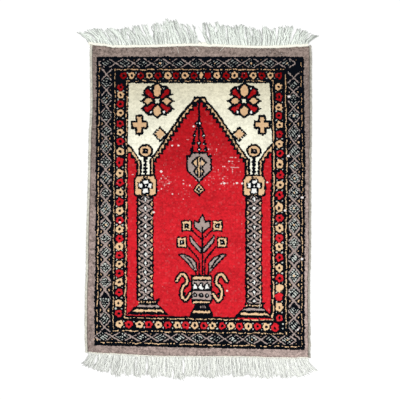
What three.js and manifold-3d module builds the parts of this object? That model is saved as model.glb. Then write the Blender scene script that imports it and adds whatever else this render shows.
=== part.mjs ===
// A small knotted wool prayer rug, lying flat: the pile slab, an overcast cord along each side, and a
// flat-woven strip with its warp fringe at each end. Millimetres, +Z up, +Y towards the niche end.
import * as THREE from 'three';
import { mergeVertices } from 'three/addons/utils/BufferGeometryUtils.js';
import Module from 'manifold-3d';

const PILE_THICKNESS = 8; // pile and foundation together
const PILE_ROUNDING = 1.6; // how far the pile rounds off at its rim
const PIECE_GAP = 0.3;

const SELVEDGE_WIDTH = 7.4;
const SELVEDGE_THICKNESS = 6.4;
const SELVEDGE_SIDES = 8;
const SELVEDGE_OVERRUN = 3; // how far each cord runs past the pile's end

const STRIP_WIDTH = 9;
const STRIP_THICKNESS = 3;

const STRAND_PITCH = 5.6;
const STRAND_WIDTH = 3.4;
const STRAND_HEIGHT = 2.6;
const STRAND_SHARE = 0.62; // the most of its room that a strand fills
const STRAND_STEPS = 4;
const STRAND_ROOT_DEPTH = 2; // how far a strand's root is fused into its strip
const STRAND_TIP_TAPER = 0.45; // how much narrower the tip is
const STRAND_CUT_SPREAD = 0.16; // how unevenly the tips are cut, as a share of the length
const BARE_ROOTS = { from: -5, to: 19 }; // where the niche end has lost its strands

const OUTLINE_STEP = 30;

// The pile's left and right edges at heights along the rug, from its foot to its niche end.
const SIDE_ROWS = [
  { y: -430, left: -306.5, right: 296 },
  { y: -330, left: -307, right: 293.8 },
  { y: -240, left: -306, right: 293.4 },
  { y: -160, left: -304, right: 295.8 },
  { y: -80, left: -302.6, right: 296 },
  { y: 0, left: -300, right: 296.4 },
  { y: 80, left: -297.6, right: 297 },
  { y: 165, left: -296.6, right: 297.8 },
  { y: 245, left: -291.8, right: 298 },
  { y: 325, left: -292.2, right: 297.8 },
  { y: 425, left: -293.6, right: 298 },
];

// The pile's end edges at places across the rug, from left to right.
const END_ROWS = [
  { x: -310, foot: -414, niche: 423.5 },
  { x: -270, foot: -416, niche: 421 },
  { x: -230, foot: -418.4, niche: 414.4 },
  { x: -175, foot: -421, niche: 415 },
  { x: -110, foot: -423.6, niche: 415.8 },
  { x: -40, foot: -424, niche: 418.8 },
  { x: 30, foot: -424.4, niche: 417.6 },
  { x: 110, foot: -424.6, niche: 414 },
  { x: 175, foot: -427, niche: 412.8 },
  { x: 235, foot: -428.2, niche: 414.4 },
  { x: 300, foot: -428.8, niche: 420 },
];

// The fringe by its roots' place across the rug: how far the tips lie to the right of their roots,
// and how far they reach past the pile.
const NICHE_FRINGE = [
  { x: -300, lean: -27, reach: 36 },
  { x: -270, lean: -30, reach: 47 },
  { x: -215, lean: -28, reach: 58 },
  { x: -150, lean: -27, reach: 62 },
  { x: -100, lean: -16, reach: 69 },
  { x: -50, lean: -20, reach: 73 },
  { x: 0, lean: -20, reach: 62 },
  { x: 50, lean: -12, reach: 67 },
  { x: 110, lean: -12, reach: 61 },
  { x: 180, lean: -2, reach: 60 },
  { x: 230, lean: 10, reach: 59 },
  { x: 265, lean: 17, reach: 52 },
  { x: 300, lean: 24, reach: 30 },
];
const FOOT_FRINGE = [
  { x: -310, lean: -22, reach: 28 },
  { x: -280, lean: -18, reach: 46 },
  { x: -215, lean: -12, reach: 59 },
  { x: -150, lean: -6, reach: 60 },
  { x: -100, lean: 0, reach: 58 },
  { x: -50, lean: 0, reach: 63 },
  { x: 20, lean: 0, reach: 58 },
  { x: 100, lean: 5, reach: 54 },
  { x: 170, lean: 14, reach: 54 },
  { x: 220, lean: 22, reach: 47 },
  { x: 270, lean: 26, reach: 44 },
  { x: 300, lean: 32, reach: 27 },
];

// The strands gather into locks by waves across the fringe.
const LOCK_WAVES = [
  { length: 41, size: 1.7, phase: 0.4 },
  { length: 67, size: 2.1, phase: 2.1 },
];

const WOOL = new THREE.MeshStandardMaterial({ color: 0xa8182a, roughness: 0.95, metalness: 0 });
const CREAM = new THREE.MeshStandardMaterial({ color: 0xe1ded0, roughness: 0.95, metalness: 0 });
const COTTON = new THREE.MeshStandardMaterial({ color: 0xebede2, roughness: 0.95, metalness: 0 });

const wasm = await Module();
wasm.setup();

// A column of a table, read at any place by a smooth curve through its rows.
function readTable(rows, key, column, at) {
  const last = rows.length - 1;
  let i = 0;
  while (i < last - 1 && rows[i + 1][key] < at) i += 1;
  const t = THREE.MathUtils.clamp((at - rows[i][key]) / (rows[i + 1][key] - rows[i][key]), 0, 1);
  const p0 = rows[Math.max(i - 1, 0)][column];
  const p1 = rows[i][column];
  const p2 = rows[i + 1][column];
  const p3 = rows[Math.min(i + 2, last)][column];
  const bend = (2 * p0 - 5 * p1 + 4 * p2 - p3) * t * t + (3 * p1 - p0 - 3 * p2 + p3) * t * t * t;
  return p1 + 0.5 * ((p2 - p0) * t + bend);
}

const sideX = (side, y) => readTable(SIDE_ROWS, 'y', side, y);
const endY = (end, x) => readTable(END_ROWS, 'x', end, x);

// The corner where a side edge and an end edge meet.
function corner(side, end) {
  let point = new THREE.Vector2(sideX(side, 0), 0);
  for (let i = 0; i < 6; i += 1) {
    const y = endY(end, point.x);
    point = new THREE.Vector2(sideX(side, y), y);
  }
  return point;
}

// Evenly spaced values from one number to another.
function stations(from, to) {
  const count = Math.round(Math.abs(to - from) / OUTLINE_STEP);
  return Array.from({ length: count + 1 }, (_, i) => from + ((to - from) * i) / count);
}

function sidePoints(side) {
  const ys = stations(corner(side, 'foot').y, corner(side, 'niche').y);
  return ys.map((y) => new THREE.Vector2(sideX(side, y), y));
}

function endPoints(end) {
  const xs = stations(corner('left', end).x, corner('right', end).x);
  return xs.map((x) => new THREE.Vector2(x, endY(end, x)));
}

function named(name, geometry, material) {
  const mesh = new THREE.Mesh(geometry, material);
  mesh.name = name;
  return mesh;
}

// The pile, a slab with a rounded rim.
function pileSlab() {
  const outline = [
    ...endPoints('foot'),
    ...sidePoints('right').slice(1, -1),
    ...endPoints('niche').reverse(),
    ...sidePoints('left').slice(1, -1).reverse(),
  ];
  const slab = new THREE.ExtrudeGeometry(new THREE.Shape(outline), {
    depth: PILE_THICKNESS - 2 * PILE_ROUNDING,
    bevelEnabled: true,
    bevelThickness: PILE_ROUNDING,
    bevelSize: PILE_ROUNDING,
    bevelOffset: -PILE_ROUNDING,
    bevelSegments: 2,
    steps: 1,
  });
  slab.translate(0, 0, PILE_ROUNDING);
  return slab;
}

// The overcast cord beside the pile: one flattened section swept along the side edge.
function selvedge(side) {
  const outward = side === 'left' ? -1 : 1;
  const offset = outward * (PIECE_GAP + SELVEDGE_WIDTH / 2);
  const edge = sidePoints(side);
  const start = edge[0].y - SELVEDGE_OVERRUN;
  const end = edge[edge.length - 1].y + SELVEDGE_OVERRUN;
  const path = stations(start, end).map((y) => (
    new THREE.Vector3(sideX(side, y) + offset, y, SELVEDGE_THICKNESS / 2)
  ));
  const reach = 1 / Math.cos(Math.PI / SELVEDGE_SIDES);
  const section = Array.from({ length: SELVEDGE_SIDES }, (_, i) => {
    const angle = (2 * Math.PI * (i + 0.5)) / SELVEDGE_SIDES;
    const up = (SELVEDGE_THICKNESS / 2) * reach * Math.cos(angle);
    return new THREE.Vector2(up, (SELVEDGE_WIDTH / 2) * reach * Math.sin(angle));
  });
  return new THREE.ExtrudeGeometry(new THREE.Shape(section), {
    steps: path.length - 1,
    bevelEnabled: false,
    extrudePath: new THREE.CatmullRomCurve3(path),
  });
}

// The flat-woven strip beyond the pile's end.
function endStrip(end) {
  const outward = end === 'foot' ? -1 : 1;
  const inner = endPoints(end).map((p) => new THREE.Vector2(p.x, p.y + outward * PIECE_GAP));
  const outer = inner.map((p) => new THREE.Vector2(p.x, p.y + outward * STRIP_WIDTH)).reverse();
  return new THREE.ExtrudeGeometry(new THREE.Shape([...inner, ...outer]), {
    depth: STRIP_THICKNESS,
    bevelEnabled: false,
  });
}

// A repeatable number from 0 to 1 for each strand.
function scatter(i) {
  const value = Math.sin(i * 12.9898 + 4.1) * 43758.5453;
  return value - Math.floor(value);
}

// Where a strand with its root at x lies, a share t of the way to its tip.
function strandPoint(end, table, x, t) {
  const outward = end === 'foot' ? -1 : 1;
  let sway = readTable(table, 'x', 'lean', x);
  for (const wave of LOCK_WAVES) {
    sway += wave.size * Math.sin((2 * Math.PI * x) / wave.length + wave.phase);
  }
  const root = PIECE_GAP + STRIP_WIDTH - STRAND_ROOT_DEPTH;
  const along = root + (readTable(table, 'x', 'reach', x) - root) * t;
  return new THREE.Vector2(x + sway * t ** 1.2, endY(end, x) + outward * along);
}

// One strand: a flat-bottomed bar with four sides, bent along its way and thinner at its tip.
function strand(end, table, x, length) {
  const bar = new THREE.BoxGeometry(1, 1, 1, 1, STRAND_STEPS, 1);
  if (end === 'foot') bar.rotateZ(Math.PI);
  const place = bar.attributes.position;
  const nudge = STRAND_PITCH / 2;
  for (let i = 0; i < place.count; i += 1) {
    const share = end === 'foot' ? 0.5 - place.getY(i) : place.getY(i) + 0.5;
    const t = share * length;
    const middle = strandPoint(end, table, x, t);
    const ahead = strandPoint(end, table, x, t + 0.02).sub(middle).normalize();
    const left = strandPoint(end, table, x - nudge, t);
    const right = strandPoint(end, table, x + nudge, t);
    const across = right.sub(left);
    const room = Math.abs(across.x * ahead.y - across.y * ahead.x);
    const taper = 1 - STRAND_TIP_TAPER * share ** 2;
    const crown = place.getZ(i) > 0 ? 0.6 : 1;
    const width = Math.min(STRAND_WIDTH, room * STRAND_SHARE) * taper * crown;
    const side = place.getX(i) * width;
    const turn = end === 'foot' ? -1 : 1;
    const height = place.getZ(i) > 0 ? STRAND_HEIGHT * taper : 0;
    place.setXYZ(i, middle.x + turn * ahead.y * side, middle.y - turn * ahead.x * side, height);
  }
  return bar;
}

function toSolid(geometry) {
  const bare = geometry.clone();
  bare.deleteAttribute('normal');
  bare.deleteAttribute('uv');
  const merged = mergeVertices(bare, 1e-4);
  const index = merged.index.array;
  return new wasm.Manifold(new wasm.Mesh({
    numProp: 3,
    vertProperties: Float32Array.from(merged.attributes.position.array),
    triVerts: Uint32Array.from(index),
  }));
}

function toGeometry(solid) {
  const mesh = solid.getMesh();
  const geometry = new THREE.BufferGeometry();
  geometry.setAttribute('position', new THREE.BufferAttribute(mesh.vertProperties, 3));
  geometry.setIndex(new THREE.BufferAttribute(mesh.triVerts, 1));
  return geometry;
}

// The strip with every strand's root fused into it.
function fringe(end, table, bare) {
  const from = corner('left', end).x + STRAND_PITCH / 2;
  const to = corner('right', end).x - STRAND_PITCH / 2;
  const count = Math.floor((to - from) / STRAND_PITCH);
  let solid = toSolid(endStrip(end));
  for (let i = 0; i <= count; i += 1) {
    const x = from + ((to - from) * i) / count;
    const lost = x > bare.from && x < bare.to;
    const length = 1 - STRAND_CUT_SPREAD * scatter(i);
    if (!lost) solid = solid.add(toSolid(strand(end, table, x, length)));
  }
  return toGeometry(solid);
}

const rug = new THREE.Group();
rug.add(named('rug_body', pileSlab(), WOOL));
rug.add(named('selvedge_left', selvedge('left'), CREAM));
rug.add(named('selvedge_right', selvedge('right'), CREAM));
rug.add(named('fringe_top', fringe('niche', NICHE_FRINGE, BARE_ROOTS), COTTON));
rug.add(named('fringe_bottom', fringe('foot', FOOT_FRINGE, { from: 0, to: 0 }), COTTON));

// The origin is the middle of the whole rug's box, on the surface it lies on.
const box = new THREE.Box3().setFromObject(rug);
const middle = box.getCenter(new THREE.Vector3());
rug.position.set(-middle.x, -middle.y, -box.min.z);

export default rug;
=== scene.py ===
import math

import bpy
import numpy as np
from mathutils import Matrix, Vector


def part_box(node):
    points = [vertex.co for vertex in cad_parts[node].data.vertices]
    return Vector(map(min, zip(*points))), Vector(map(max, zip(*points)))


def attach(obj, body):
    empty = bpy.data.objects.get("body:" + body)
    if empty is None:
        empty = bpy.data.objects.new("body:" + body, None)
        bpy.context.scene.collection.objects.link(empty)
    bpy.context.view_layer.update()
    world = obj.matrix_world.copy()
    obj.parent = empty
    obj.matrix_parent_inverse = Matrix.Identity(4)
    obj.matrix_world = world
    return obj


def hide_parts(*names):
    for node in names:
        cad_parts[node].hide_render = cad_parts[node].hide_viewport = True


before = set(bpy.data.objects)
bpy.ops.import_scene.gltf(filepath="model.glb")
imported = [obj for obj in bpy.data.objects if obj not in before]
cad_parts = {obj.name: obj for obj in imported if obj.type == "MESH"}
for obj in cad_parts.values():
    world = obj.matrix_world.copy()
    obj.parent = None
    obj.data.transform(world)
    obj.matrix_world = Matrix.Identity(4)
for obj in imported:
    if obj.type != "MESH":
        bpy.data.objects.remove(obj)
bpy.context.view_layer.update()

# Real sizes, in metres
STEP = 0.00272  # unit in which the design is charted
MIDDLE = (0.0016, -0.0022)  # the design's middle in the frame
CELL = STEP / 2  # one cell of the pile's grid
FOUNDATION = 0.0030  # woven ground under the pile
PILE_TOP = 0.0078
PILE_SINK = 0.0004  # how far the pile reaches into the foundation
PILE_UNEVEN = 0.00022
RIM = 0.0035  # width of the pile's rounded rim
RIM_FOOT = 0.0008  # height of the rim's edge over the foundation
ROW_STRAY = 0.0009  # how unevenly the first and last rows of tufts end
BACK_RELIEF = 0.0003  # height of the knots on the back
CORD_RADIUS = 0.0032
CORD_GAP = 0.0005  # from the pile to the side cords
CORD_SHORT = 0.001  # how much sooner they end than their node
WRAP_PITCH = 0.0026  # one overcast turn of the side cords
WEB_GAP = 0.0004  # from the pile to the woven end strips
WEB_TOP = 0.0027  # height of the strips
WEB_INSET = 0.003  # how far their ends stay in from the pile's sides
WEFT_HEIGHTS = (0.00025, 0.0004)  # ridges on them: along a weft, from weft to weft
ROOT_COVER = 0.0042  # how far the yarns' roots lie on the strips
YARN_RADIUS = 0.00115
YARN_PITCH = 0.0013
THREAD_RADIUS = 0.00045
LIFT = 0.0001  # how far cords and strips stay off the floor
VIEW_WIDTH = 400 * STEP  # what the camera sees across the pile

# Numbers of cells, sides and steps
PILE_STRIPS = 3
BACK_CELLS = (222, 310)
WEB_CELLS = (420, 12)
CORD_SIDES = 12
WRAP_STEPS = 4
WRAP_DRAWS = 4000
YARN_SIDES = 4
YARN_STEPS = 10
THREAD_SIDES = 5
THREAD_STEPS = 8
KNOT_DRAWS = 400  # random strays and wear are drawn for this many knots each way
TURN = 6.28  # a full turn, near enough for random phases

# Hand-tied knots, in the design's unit
KNOT_WIDE = 1.58
KNOT_TALL = 1.72
KNOT_PULL = 0.25
KNOT_STRAY = 0.36

# How far the border columns stray sideways, and how the foot slopes: place along the rug, amount
LEFT_SHIFT = ((-110, -1.1), (-70, -0.3), (30, 0), (115, 0.9))
RIGHT_SHIFT = ((-110, -0.2), (-70, 0), (0, 0), (30, 0.6), (115, -0.9))
FOOT_SLOPE = (
    (-156, 0.021), (-143, 0.023), (-132, 0.019), (-120, 0.0155), (-100, 0.0175), (-75, 0.01), (-45, 0),
)

# The yarns' colours at the niche end, painted darker there as shade, since less light falls towards the
# niche
NICHE_SHADED_YARNS = {
    "taupe": (0.545, 0.485, 0.455),
    "red": (0.5, 0.0, 0.0),
    "peach": (0.79, 0.64, 0.48),
    "grey": (0.6, 0.54, 0.515),
    "hatch": (0.6, 0.62, 0.6),
    "cream": (0.77, 0.74, 0.625),
}

# Tone of the taupe side margins: place along the rug, tone
LEFT_MARGIN = ((-150, 0.8), (-115, 0.86), (-50, 0.94), (20, 0.84), (110, 0.84), (140, 1))
RIGHT_MARGIN = ((-140, 1.08), (-60, 1.2), (10, 1), (60, 0.84), (115, 0.84), (140, 1))

# Dark lines widen right and up, and then back left and down: place along the rug, share of their edge cells
DARK_SPREAD = ((-140, 1), (-105, 0.9), (-70, 0.72), (0, 0.75), (60, 0.9), (110, 1))
DARK_RETURN = ((50, 0), (125, 0.4))
PEACH_RETURN = 0.15  # share of the return that peach lines take

# Painted shade darkens the yarns towards the niche from this place on, over this length, and late in some
# yarns
NICHE_SHADE_START = -60
NICHE_SHADE_LENGTH = 190
PLAIN_SHADE_CURVE = 1.3
LATE_SHADE_CURVE = {"cream": 2.6, "red": 2.0}

# How uneven the dye is: in most yarns, in some, and the weight and size of its blobs in cells
PLAIN_DYE = 0.7
UNEVEN_DYE = {"taupe": 3.6, "red": 1.8, "cream": 1.3, "black": 0.8, "peach": 1.1, "grey": 1.2}
DYE_BLOBS = ((0.3, (3, 40)), (0.6, (2.5, 5)), (0.9, (3, 3)), (0.5, (40, 60)))
DYE_GRAIN = 0.6

# What shows where knots are worn, and between the knots on the back, as sRGB colours
WORN_WHITE = (0.93, 0.9, 0.89)
BACK_GROUND = (0.8, 0.78, 0.72)
BACK_DYE = 0.72  # share of the knots' own colour on the back

# Worn patches: place, half width and height, share of knots gone
WORN_PATCHES = (
    (-36, 19.5, 7, 5, 0.7), (23, 24, 20, 13, 0.25), (12.5, 50, 5, 6, 0.4), (-20, 14, 26, 12, 0.08),
)
# Worn rows: place, half length and strength
WORN_ROWS = (
    (33, 42.6, 3.2, 1), (34.6, 38.7, 6.4, 0.9), (35, 32.7, 4.2, 0.6), (12.4, 45.7, 2.4, 0.5),
    (24.5, 23.4, 2.5, 0.5), (24.6, 16.9, 3.2, 0.7), (-66, 25.3, 2.2, 0.7), (-12.3, 60.5, 1.6, 0.5),
)
# Single worn knots: place and size
WORN_KNOTS = (
    (-27.8, 54.5, 0.8), (-21.5, 54.5, 0.8), (-6.5, 73.7, 0.8), (-38.8, 28.5, 1.1), (27, -90.4, 0.9),
    (24.3, 16.6, 1.0), (36.9, 17, 1.0), (42.2, 16.6, 1.0), (66.9, 17.6, 0.8), (88, 44, 1.2),
    (98, -127.9, 0.9), (89.7, 103.4, 1.2), (-46.3, -12.3, 0.9), (-80, -22.3, 1.0), (85, -10.5, 1.1),
    (102, -58.5, 1.2), (102.2, 2.5, 1.2), (99, 64, 0.8),
)

# Fringe: place across the rug, sideways lean and reach of the tips past the pile's edge, in metres
NICHE_FRINGE = (
    (-0.300, -0.027, 0.036), (-0.270, -0.030, 0.047), (-0.215, -0.028, 0.058), (-0.150, -0.027, 0.065),
    (-0.100, -0.017, 0.070), (-0.050, -0.020, 0.073), (0.000, -0.020, 0.062), (0.050, -0.012, 0.067),
    (0.110, -0.012, 0.061), (0.180, -0.002, 0.060), (0.230, 0.010, 0.059), (0.265, 0.017, 0.052),
    (0.300, 0.024, 0.030),
)
FOOT_FRINGE = (
    (-0.310, -0.018, 0.028), (-0.280, -0.018, 0.044), (-0.215, -0.012, 0.059), (-0.150, -0.006, 0.060),
    (-0.100, 0.000, 0.058), (-0.050, 0.000, 0.063), (0.020, 0.000, 0.058), (0.100, 0.004, 0.055),
    (0.170, 0.010, 0.057), (0.220, 0.015, 0.055), (0.270, 0.021, 0.051), (0.300, 0.024, 0.036),
)
# The two ends: way out, width of the strip, where yarns are missing, table and colour of the fringe. Of its
# locks: spread of the lean, reach, gather, tone with its spread, and the painted shade that darkens the
# yarns that lie low
NICHE_END = {
    "outward": 1, "web": 0.0118, "bare": (-0.004, 0.020), "yarns": NICHE_FRINGE,
    "colour": (0.96, 0.985, 0.955), "lean": 0.0034, "reach": (0.86, 1.06), "gather": (0.25, 0.8),
    "tone": (0.99, 0.04), "shadow": 0.54,
}
FOOT_END = {
    "outward": -1, "web": 0.0072, "bare": (0, 0), "yarns": FOOT_FRINGE,
    "colour": (0.98, 0.99, 0.965), "lean": 0.0022, "reach": (0.92, 1.07), "gather": (0, 0.4),
    "tone": (0.94, 0.03), "shadow": 0.7,
}
# The right cord is painted darker than the left: painted shade against the key light, which falls strongly
# on the right
CORD_COLOURS_AND_SHADE = {-1: (0.85, 0.84, 0.785), 1: (0.7, 0.685, 0.64)}  # left and right
WEB_COLOUR = (0.985, 0.98, 0.93)
MOTTLE = 0.12  # how much the fibres vary in tone
FIBRE_BUMP = 0.0006  # height of the fibres, in metres
# Loose threads on the pile, in the design's unit: start, then reach across and along
LOOSE_THREADS = (
    (-24, 153.6, 3.3, -7.2), (-4.5, 152.8, 4.5, -4.5), (24, 154, -3.5, -5), (60.4, -95, -1, -15.5),
)

# Yarns of the pile, as sRGB colours
YARNS = {
    "taupe": (0.625, 0.555, 0.53),
    "black": (0.02, 0.035, 0.065),
    "cream": (0.99, 0.99, 0.92),
    "red": (0.79, 0.125, 0.165),
    "peach": (0.89, 0.75, 0.585),
    "grey": (0.65, 0.585, 0.56),
    "hatch": (0.78, 0.8, 0.77),
    "white": (0.93, 0.935, 0.92),
}
YARN_ORDER = list(YARNS)

# The design, in its own unit from its middle, x to the right and y towards the niche
NICHE_X = -0.45  # middle of the niche
BORDER = {"left": -104.5, "right": 104.5, "foot": -147.7, "niche": 142.9}
FIELD = {"left": -72.3, "right": 70.4, "foot": -116.9, "niche": 116.9}


def read(table, where, column=1):
    """A column of a table at any place between its rows, whose first column is the place."""
    return np.interp(where, [row[0] for row in table], [row[column] for row in table])


def of_yarn(chart, yarn):
    return chart.yarn == YARN_ORDER.index(yarn)


def by_yarn(chart, table, plain):
    """A value for every cell by its yarn, from a table of the yarns that aren't plain."""
    return np.array([table.get(name, plain) for name in YARN_ORDER])[chart.yarn]


class Chart:
    """The knotted design, painted in yarns on a grid of cells. x and y are the cells' places in it."""

    def __init__(self, x, y):
        self.x = x
        self.y = y
        self.columns = x.mean(axis=0)
        self.rows = y.mean(axis=1)
        self.yarn = np.full(x.shape, YARN_ORDER.index("taupe"), dtype=np.int8)

    def window(self, left, right, foot, niche, reach=4.0):
        c0, c1 = np.searchsorted(self.columns, (left - reach, right + reach))
        r0, r1 = np.searchsorted(self.rows, (foot - reach, niche + reach))
        return slice(r0, r1), slice(c0, c1)

    def paint(self, window, mask, yarn):
        self.yarn[window][mask] = YARN_ORDER.index(yarn)

    def box(self, left, right, foot, niche, yarn):
        w = self.window(left, right, foot, niche)
        x, y = self.x[w], self.y[w]
        self.paint(w, (x > left) & (x < right) & (y > foot) & (y < niche), yarn)

    def polygon(self, points, yarn):
        xs, ys = zip(*points)
        w = self.window(min(xs), max(xs), min(ys), max(ys))
        x, y = self.x[w], self.y[w]
        inside = np.zeros(x.shape, bool)
        for (xa, ya), (xb, yb) in zip(points, points[1:] + points[:1]):
            if ya != yb:
                inside ^= ((ya > y) != (yb > y)) & (x < xa + (y - ya) * (xb - xa) / (yb - ya))
        self.paint(w, inside, yarn)

    def line(self, points, width, yarn, bead=0.0):
        xs, ys = zip(*points)
        w = self.window(min(xs), max(xs), min(ys), max(ys))
        x, y = self.x[w], self.y[w]
        mask = np.zeros(x.shape, bool)
        run = 0.0
        for (xa, ya), (xb, yb) in zip(points, points[1:]):
            length = max(np.hypot(xb - xa, yb - ya), 1e-6)
            ux, uy = (xb - xa) / length, (yb - ya) / length
            along = np.clip((x - xa) * ux + (y - ya) * uy, 0, length)
            near = np.hypot(x - xa - along * ux, y - ya - along * uy) < width / 2
            if bead:
                near &= (run + along) % bead < 0.72 * bead
            mask |= near
            run += length
        self.paint(w, mask, yarn)

    def shape(self, points, fill, outline="black", width=1.5):
        self.line(points + points[:1], 2 * width, outline)
        self.polygon(points, fill)

    def disc(self, cx, cy, radius, yarn, stretch=1.0):
        w = self.window(cx - radius, cx + radius, cy - radius, cy + radius)
        self.paint(w, np.hypot(self.x[w] - cx, (self.y[w] - cy) / stretch) < radius, yarn)

    def stripe(self, vertical, place, start, end, width, yarn, seed, gaps=0.0):
        """A line beside a border: a little uneven, and with short gaps for that share of its length."""
        low, high = place - width - 1, place + width + 1
        w = self.window(low, high, start, end) if vertical else self.window(start, end, low, high)
        across, along = (self.x[w], self.y[w]) if vertical else (self.y[w], self.x[w])
        wander = 0.3 * np.sin(along / 4.1 + seed) + 0.25 * np.sin(along / 1.7 + 2 * seed)
        mask = (np.abs(across - place - wander) < width / 2) & (along > start) & (along < end)
        if gaps:
            mask &= (along / 7.3 + 0.35 * np.sin(along / 11.0 + seed)) % 1 > gaps
        self.paint(w, mask, yarn)


def at(cx, cy, points, side=1):
    """The points of a motif put at its place, and turned over where side is -1."""
    return [(cx + side * x, cy + y) for x, y in points]


def mirrored(half):
    """A closed outline from its right half."""
    return half + [(-x, y) for x, y in reversed(half) if x]


def grounds(chart):
    chart.box(*BORDER.values(), "black")
    chart.box(*FIELD.values(), "red")


def border_lines(chart):
    # Place of the line, its start and end, width and share of gaps
    upright = (
        (-101.9, -143.6, 138.5, 1.0, 0.14),
        (-86.1, -133.4, 131.1, 0.8, 0.06),
        (-74.1, -118.6, 119.4, 1.15, 0.04),
        (73.2, -111, 119.4, 1.15, 0.03),
        (86.1, -133.4, 131.1, 1.0, 0.04),
        (101.9, -144.2, 139.5, 0.75, 0.14),
    )
    level = (
        (130.3, -86.8, 86.8, 1.1, 0.06),
        (118.8, -75.2, 73.8, 0.9, 0.06),
        (-119.2, -75.2, 73.8, 1.1, 0.1),
        (-132.4, -86.8, 86.8, 1.3, 0.05),
        (-144.7, -101.6, 102.2, 1.15, 0.08),
    )
    for vertical, lines, seed in ((True, upright, 1.3), (False, level, 2.1)):
        for n, (place, start, end, width, gaps) in enumerate(lines):
            chart.stripe(vertical, place, start, end, width, "peach", seed * n, gaps)


def border_teeth(chart, rng):
    """The uneven outer edge of the black ground."""
    for x in np.arange(-104, 104, 3.1):
        if rng.random() < 0.5:
            chart.box(x, x + 1.5, -148.1, -147, "black")
        if rng.random() < 0.3:
            chart.box(x, x + 1.5, 142, 143.4, "black")
    for y in np.arange(-147, 142, 3.3):
        for x in (-104.3, 104.3):
            if rng.random() < 0.35:
                chart.box(x - 0.7, x + 0.7, y, y + 2, "black")


# The border's lattice: where its crossings are, and the marks inside the lozenges between them
LEFT_CROSSINGS = (
    125.6, 109.7, 93.8, 75.8, 61.7, 45.4, 30.3, 14, -0.5, -17.4, -31.6, -45, -60.2, -76.2, -90.8,
    -112.2, -128.8,
)
LEFT_MARKS = "o/o//o/o//o/oo^/"
RIGHT_CROSSINGS = (
    122, 108.4, 92.5, 76.1, 57.3, 41, 28, 15, -1.2, -16, -35.2, -51, -65.5, -84, -99.5, -116.5, -131.8,
)
RIGHT_MARKS = "\\oo\\\\\\o\\o\\o\\o\\^\\"
NICHE_CROSSINGS = (-103.2, -85.1, -67, -48.8, -30.5, -12, 5, 23.8, 42.2, 60.5, 79.2, 97)
NICHE_MARKS = "//\\o/o\\\\o/\\"
FOOT_CROSSINGS = (-105, -87, -67.5, -49, -29.7, -11.5, 6.4, 24.6, 42.6, 60.6, 78.4, 96.5)
FOOT_MARKS = "/o/\\/o\\\\o\\/"
# Where the middle of each side's lattice runs
LEFT_LATTICE, RIGHT_LATTICE, NICHE_LATTICE, FOOT_LATTICE = -94.5, 94.1, 136.7, -138.5
BAND_HALF_WIDTHS = ((-130, 0.75), (-105, 0.98), (-40, 0.98), (40, 0.72))  # by the place along the rug


def lozenges(chart, vertical, middle, half, crossings, marks, rng):
    for first, last, mark in zip(crossings, crossings[1:], marks):
        lozenge(chart, vertical, middle, half, min(first, last), max(first, last), mark, rng)


def lozenge(chart, vertical, middle, half, start, end, mark, rng):
    """One lozenge between two crossings: grey band, marks inside it, peach corners outside it."""
    length = (end - start) / 2
    centre = (start + end) / 2
    spread = half * 1.22
    if vertical:
        w = chart.window(middle - half, middle + half, start, end)
        across, along = chart.x[w] - middle, chart.y[w] - centre
    else:
        w = chart.window(start, end, middle - half, middle + half)
        across, along = chart.y[w] - middle, chart.x[w] - centre
    normal = spread * length / np.hypot(spread, length)
    depth = (1 - np.abs(across) / spread - np.abs(along) / length) * normal
    mine = (np.abs(across) < half) & (np.abs(along) < length)
    chart.paint(w, mine & (depth < -2.4) & (np.abs(across) < half - 1.1), "peach")
    chart.paint(w, mine & (np.abs(depth) < read(BAND_HALF_WIDTHS, chart.y[w])), "grey")
    lean = {"/": 1, "\\": -1}.get(mark, 0) * (1 if vertical else -1)
    if lean:
        ruled = (across * length * lean - along * spread) / np.hypot(spread, length)
        hatch = (ruled / 2.15 + 0.28) % 1 < 0.6
        other = (across * length * lean + along * spread) / np.hypot(spread, length)
        hatch &= (other / 5.3 + rng.random()) % 1 > 0.18
    else:
        hatch = (depth / 2.1 + 0.3) % 1 < 0.6
        hatch &= (along / 2.2 + rng.random()) % 1 > 0.25
    if mark == "^":
        hatch &= along * (1 if vertical else -1) < 1.5
    chart.paint(w, mine & (depth > (1.15 if vertical else 1.55)) & hatch, "hatch")
    if rng.random() < 0.35:
        chart.paint(w, mine & (np.hypot(across, along) < 0.9), "peach")


def lattice_corners(chart):
    """The short arms that carry the upright lattice into its four corners."""
    for cx, crossings in ((LEFT_LATTICE, LEFT_CROSSINGS), (RIGHT_LATTICE, RIGHT_CROSSINGS)):
        for cy, up in ((crossings[0], 1), (crossings[-1], -1)):
            chart.line(at(cx, cy, [(-5, 5.6 * up), (0, 0), (5.6, 5.2 * up)]), 1.5, "grey")


# The flower border: the places of its flowers, red and peach in turn
LEFT_FLOWERS = (
    112.6, 105, 96, 87, 76.1, 67.5, 58.2, 48.4, 38, 26.6, 17.5, 7.6, -1.8, -11, -20.2, -29.5, -38.6,
    -46.7, -55.5, -64.7, -74.2, -83.5, -93.8, -104.8, -115,
)
RIGHT_FLOWERS = (
    113, 103, 92.7, 84.2, 75, 65.7, 56.1, 46.4, 36, 24.8, 15.1, 5, -7.5, -18.2, -28.2, -38.1, -46.8,
    -57.3, -67.5, -77.3, -86.9, -95.6, -105.9, -117,
)
NICHE_FLOWERS = (
    -77.7, -69.2, -59.7, -50.8, -41.7, -32.4, -24.1, -15, -6, 1.1, 7.4, 16.5, 25.6, 34.7, 43.9, 53,
    62.1, 71.2, 79.6,
)
FOOT_FLOWERS = (
    -79.6, -70.7, -60.8, -51.3, -41.8, -32.4, -23.1, -14.5, -5.3, 3.4, 12.4, 21.7, 30.6, 39.5, 48.4,
    57.3, 66.1, 75,
)
DOUBLE_FLOWERS = {("left", 38), ("right", 103), ("right", 36), ("right", -7.5), ("right", -105.9)}
SHORT_FLOWERS = {("niche", 1.1)}
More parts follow.
